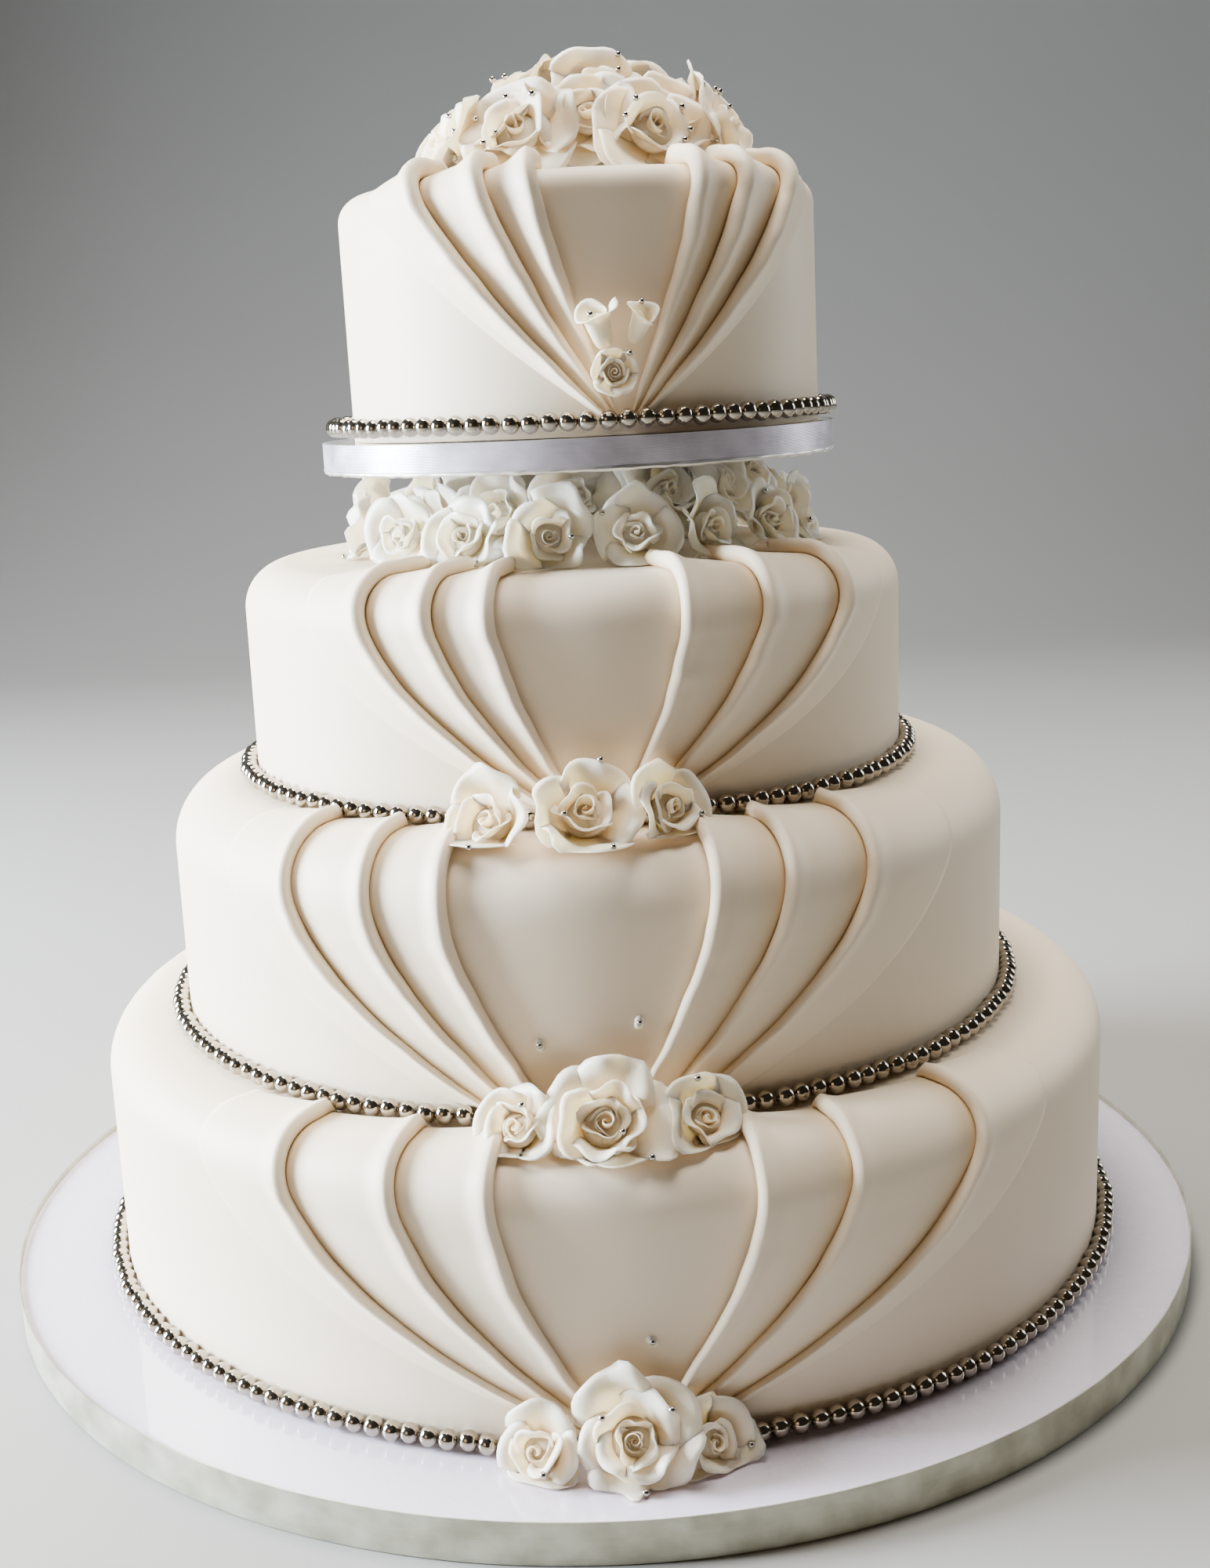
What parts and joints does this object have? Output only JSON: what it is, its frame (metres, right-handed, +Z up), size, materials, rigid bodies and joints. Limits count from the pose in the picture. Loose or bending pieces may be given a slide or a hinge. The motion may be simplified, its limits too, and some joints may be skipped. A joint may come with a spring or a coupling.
{
  "type": "tiered wedding cake",
  "caption": "Round tiered wedding cake in ivory fondant with pleated drapes, silver pearl strings and sugar roses, on ribboned boards, the top tier raised on pillars.",
  "frame": {"origin": "middle of the underside of the base board", "axes": "+Z up; the pleated front with the rose sprays faces -Y, +X to its right as seen from the front"},
  "size_m": [0.508, 0.508, 0.4927],
  "materials": {
    "fondant": "matte ivory rolled fondant with a faint sheen",
    "pleated_fondant": "matte ivory fondant strips laid in rolled pleats",
    "sugar_petal": "thin off-white sugar petals, slightly translucent",
    "silver_pearl": "bright silver pearl string",
    "base_board": "glossy pale lilac white covered cake drum",
    "base_ribbon": "pearl white satin ribbon",
    "upper_board": "glossy white covered cake card with a silver edge",
    "upper_ribbon": "pale lilac white satin ribbon",
    "pillar": "plain off-white"
  },
  "bodies": {
    "root": {"base_board": "base_board", "base_ribbon": "base_ribbon", "upper_board": "upper_board", "upper_ribbon": "upper_ribbon", "pillar_1": "pillar", "pillar_2": "pillar", "pillar_3": "pillar", "pillar_4": "pillar", "tier_1": "fondant", "tier_2": "fondant", "tier_3": "fondant", "tier_4": "fondant", "drape_1": "pleated_fondant", "drape_2": "pleated_fondant", "drape_3": "pleated_fondant", "drape_4": "pleated_fondant", "bead_string_1": "silver_pearl", "bead_string_2": "silver_pearl", "bead_string_3": "silver_pearl", "bead_string_4": "silver_pearl", "rose_1_1": "sugar_petal", "rose_1_2": "sugar_petal", "rose_1_3": "sugar_petal", "rose_2_1": "sugar_petal", "rose_2_2": "sugar_petal", "rose_2_3": "sugar_petal", "rose_3_1": "sugar_petal", "rose_3_2": "sugar_petal", "rose_3_3": "sugar_petal", "small_rose": "sugar_petal", "bud_left": "sugar_petal", "bud_right": "sugar_petal", "rose_ring_1": "sugar_petal", "rose_ring_2": "sugar_petal", "rose_ring_3": "sugar_petal", "rose_ring_4": "sugar_petal", "rose_ring_5": "sugar_petal", "rose_ring_6": "sugar_petal", "rose_ring_7": "sugar_petal", "rose_ring_8": "sugar_petal", "rose_ring_9": "sugar_petal", "rose_ring_10": "sugar_petal", "rose_ring_11": "sugar_petal", "rose_ring_12": "sugar_petal", "rose_ring_13": "sugar_petal", "rose_ring_14": "sugar_petal", "rose_ring_15": "sugar_petal", "rose_dome_1": "sugar_petal", "rose_dome_2": "sugar_petal", "rose_dome_3": "sugar_petal", "rose_dome_4": "sugar_petal", "rose_dome_5": "sugar_petal", "rose_dome_6": "sugar_petal", "rose_dome_7": "sugar_petal", "rose_dome_8": "sugar_petal", "rose_dome_9": "sugar_petal", "rose_dome_10": "sugar_petal", "rose_dome_11": "sugar_petal", "rose_dome_12": "sugar_petal", "rose_dome_13": "sugar_petal"}
  },
  "joints": []
}
